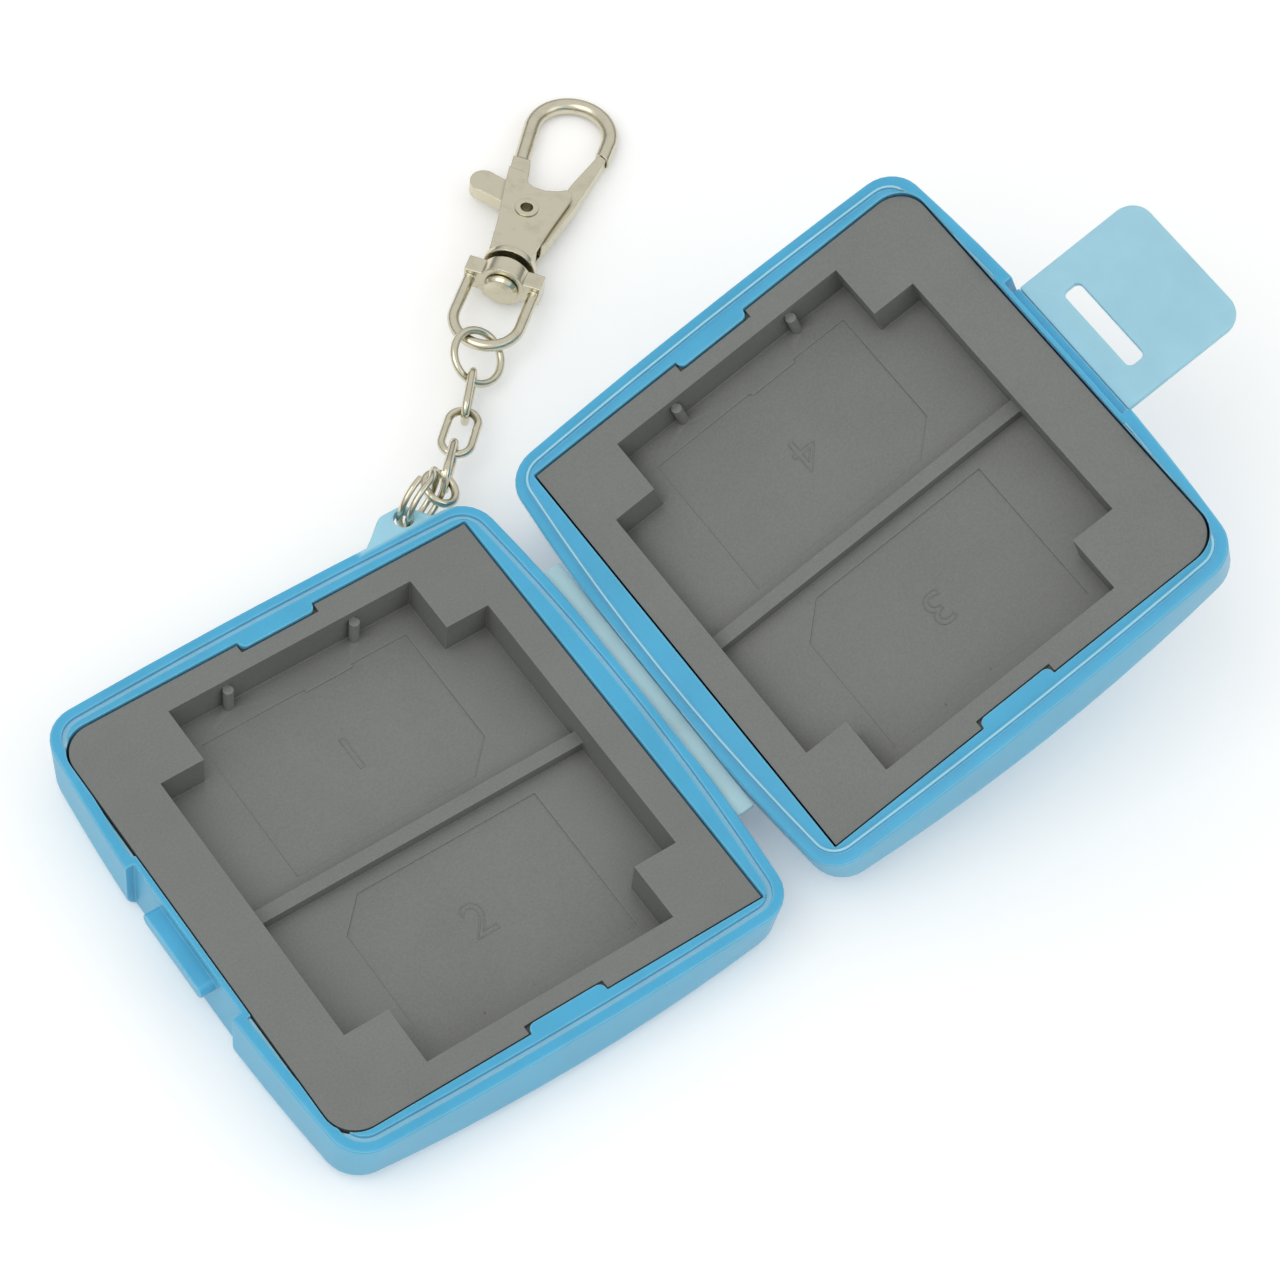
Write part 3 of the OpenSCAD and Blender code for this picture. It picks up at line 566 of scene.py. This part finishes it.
class CARDCASE_OT_latch(bpy.types.Operator):
    """Rounds off and colours the latch flap and the hinge strip"""
    bl_idname = "cardcase.latch"
    bl_label = "Latch flap and hinge strip"

    def execute(self, context):
        colours, sizes = context.scene.card_case_colours, context.scene.card_case_sizes
        # The flap's pale colour is painted light coming through its thin plastic, and the edges of flap and strip
        # get the painted highlight
        flap = polypropylene("thin polypropylene flap", colours.thin, colours.shell_highlight,
                             depth=1.2 * MM, see_through=0.12, roughness=0.4)
        strip = polypropylene("thin polypropylene strip", colours.strip, colours.shell_highlight,
                              depth=1.2 * MM, roughness=0.42)
        rounded_solid("latch_flap", "latch_flap_moulding", sizes.flap_round, flap, steps=3)
        rounded_solid("hinge_strip", "hinge_strip_moulding", sizes.tray_round, strip)
        return {"FINISHED"}


class CARDCASE_OT_trays(bpy.types.Operator):
    """Rounds off and colours the two card trays and numbers their four card seats"""
    bl_idname = "cardcase.trays"
    bl_label = "Card trays"

    def execute(self, context):
        colours, sizes = context.scene.card_case_colours, context.scene.card_case_sizes
        plastic = grained_polystyrene("grained polystyrene tray", colours.tray)
        rounded_solid("base_tray", "base_tray_moulding", sizes.tray_round, plastic)
        rounded_solid("lid_tray", "lid_tray_moulding", sizes.tray_round, plastic)
        lid = half_to_lid()
        for digit, body, carry, place in (("1", "base", HALF_TO_BASE, NUMBER_HIGH),
                                          ("2", "base", HALF_TO_BASE, NUMBER_LOW),
                                          ("3", "lid", lid, NUMBER_HIGH), ("4", "lid", lid, NUMBER_LOW)):
            raised_digit("tray_number_" + digit, digit, place, sizes.digit_height, sizes.digit_line,
                         carry, plastic, body)
        return {"FINISHED"}


class CARDCASE_OT_chain(bpy.types.Operator):
    """Makes the split ring, the jump ring, the three links and the round ring"""
    bl_idname = "cardcase.chain"
    bl_label = "Chain"

    def execute(self, context):
        colours, sizes = context.scene.card_case_colours, context.scene.card_case_sizes
        wire = nickel_plate("nickel plated steel wire", colours.metal, colours.metal_worn, 0.2, 0.12 * MM)
        split_ring("lug_ring_wire", sizes.split_wire, wire)
        wire_ring("jump_ring", "jump_ring_wire", wire)
        wire_ring("round_ring", "round_ring_wire", wire)
        for number in (1, 2, 3):
            wire_link(f"chain_link_{number}", f"chain_link_{number}_wire", wire)
        return {"FINISHED"}


class CARDCASE_OT_clip(bpy.types.Operator):
    """Makes the swivel yoke, the two rivets, the clip's body and its thumb lever"""
    bl_idname = "cardcase.clip"
    bl_label = "Swivel clip"

    def execute(self, context):
        colours, sizes = context.scene.card_case_colours, context.scene.card_case_sizes
        cast = nickel_plate("nickel plated die-cast zinc", colours.metal, colours.metal_worn, 0.24, 0.2 * MM)
        for node in ("swivel_yoke", "clip_body", "clip_lever"):
            cast_solid(node, node + "_casting", sizes.cast_step, cast)
        for node in ("swivel_rivet", "clip_rivet"):
            cast_solid(node, node + "_casting", sizes.cast_step / 2, cast, rounds=4)
        return {"FINISHED"}


# Camera fitted to the photograph, and the middle of the object, which the lights face
CAMERA_AT = Vector((-164.77, -222.96, 488.29)) * MM
CAMERA_TURN = [math.radians(a) for a in (32.49626, -4.20018, -35.20505)]
AIM = Vector((44.3, 11.2, 10.0)) * MM


def soft_light(name, place, side, power, warmth):
    """Large square light that faces the middle of the object."""
    light = bpy.data.lights.new(name, "AREA")
    light.shape = "SQUARE"
    light.size = side
    light.energy = power
    light.color = warmth
    lamp = bpy.data.objects.new(name, light)
    lamp.location = place
    lamp.rotation_euler = (AIM - Vector(place)).to_track_quat("-Z", "Y").to_euler()
    bpy.context.scene.collection.objects.link(lamp)


class CARDCASE_OT_stage(bpy.types.Operator):
    """Sets the pale floor, the soft lights and the camera"""
    bl_idname = "cardcase.stage"
    bl_label = "Stage"

    def execute(self, context):
        colours, stage = context.scene.card_case_colours, context.scene.card_case_stage
        scene = context.scene
        scene.view_settings.view_transform = "Standard"
        camera = bpy.data.cameras.new("camera")
        camera.lens = stage.lens
        camera.sensor_width = 36
        camera.clip_start = 0.01
        rig = bpy.data.objects.new("camera", camera)
        rig.location = CAMERA_AT
        rig.rotation_euler = CAMERA_TURN
        scene.collection.objects.link(rig)
        scene.camera = rig

        # Painted studio floor: matt and even, with a faint roller texture
        paint, tree, shader, place = start_material("matt studio paint")
        roller = noise(tree, place, 6 * MM, 3)
        relief = add(tree, "ShaderNodeBump", {"Height": roller, "Strength": 0.05, "Distance": 0.1 * MM})
        tree.links.new(relief.outputs["Normal"], shader.inputs["Normal"])
        shader.inputs["Base Color"].default_value = rgba(colours.floor)
        shader.inputs["Roughness"].default_value = 0.85
        shader.inputs["Specular IOR Level"].default_value = 0.1
        shader.inputs["Emission Color"].default_value = (1, 1, 1, 1)
        shader.inputs["Emission Strength"].default_value = stage.floor_glow
        work = bmesh.new()
        bmesh.ops.create_circle(work, cap_ends=True, segments=96, radius=6.0)
        floor = bpy.data.objects.new("floor", finish_mesh(work, "floor"))
        floor.location = (0, 0, -0.05 * MM)
        floor.data.materials.append(paint)
        scene.collection.objects.link(floor)

        world = bpy.data.worlds.new("soft studio")
        world.use_nodes = True
        tree = world.node_tree
        tree.nodes.clear()
        height = add(tree, "ShaderNodeSeparateXYZ", {
            0: add(tree, "ShaderNodeTexCoord").outputs["Generated"]}).outputs["Z"]
        glow = ramp(tree, height, 0.08, 0.45, stage.horizon, stage.sky)
        back = add(tree, "ShaderNodeBackground", {"Color": (1, 1, 1, 1), "Strength": glow})
        add(tree, "ShaderNodeOutputWorld", {"Surface": back.outputs["Background"]})
        scene.world = world
        soft_light("key light", (-0.55, -0.1, 1.0), 0.9, stage.key, (1, 0.985, 0.96))
        soft_light("fill light", (0.5, -0.75, 0.6), 0.7, stage.fill, (0.97, 0.985, 1))
        return {"FINISHED"}


class CARDCASE_PT_panel(bpy.types.Panel):
    """Lists the steps, the sizes and the colours"""
    bl_label = "Card Case"
    bl_idname = "CARDCASE_PT_panel"
    bl_space_type = "VIEW_3D"
    bl_region_type = "UI"
    bl_category = "Card Case"

    def draw(self, context):
        for step in STEPS:
            self.layout.operator(step.bl_idname)
        for group in (context.scene.card_case_colours, context.scene.card_case_sizes,
                      context.scene.card_case_stage):
            box = self.layout.box()
            for name in group.__annotations__:
                box.prop(group, name)


STEPS = (CARDCASE_OT_shells, CARDCASE_OT_latch, CARDCASE_OT_trays, CARDCASE_OT_chain,
         CARDCASE_OT_clip, CARDCASE_OT_stage)
CLASSES = (CardCaseColours, CardCaseSizes, CardCaseStage, *STEPS, CARDCASE_PT_panel)


def register():
    for item in CLASSES:
        bpy.utils.register_class(item)
    bpy.types.Scene.card_case_colours = bpy.props.PointerProperty(type=CardCaseColours)
    bpy.types.Scene.card_case_sizes = bpy.props.PointerProperty(type=CardCaseSizes)
    bpy.types.Scene.card_case_stage = bpy.props.PointerProperty(type=CardCaseStage)


def unregister():
    del bpy.types.Scene.card_case_stage
    del bpy.types.Scene.card_case_sizes
    del bpy.types.Scene.card_case_colours
    for item in reversed(CLASSES):
        bpy.utils.unregister_class(item)


def main():
    register()
    bpy.ops.cardcase.stage()
    bpy.ops.cardcase.shells()
    bpy.ops.cardcase.latch()
    bpy.ops.cardcase.trays()
    bpy.ops.cardcase.chain()
    bpy.ops.cardcase.clip()


if __name__ == "__main__":
    main()
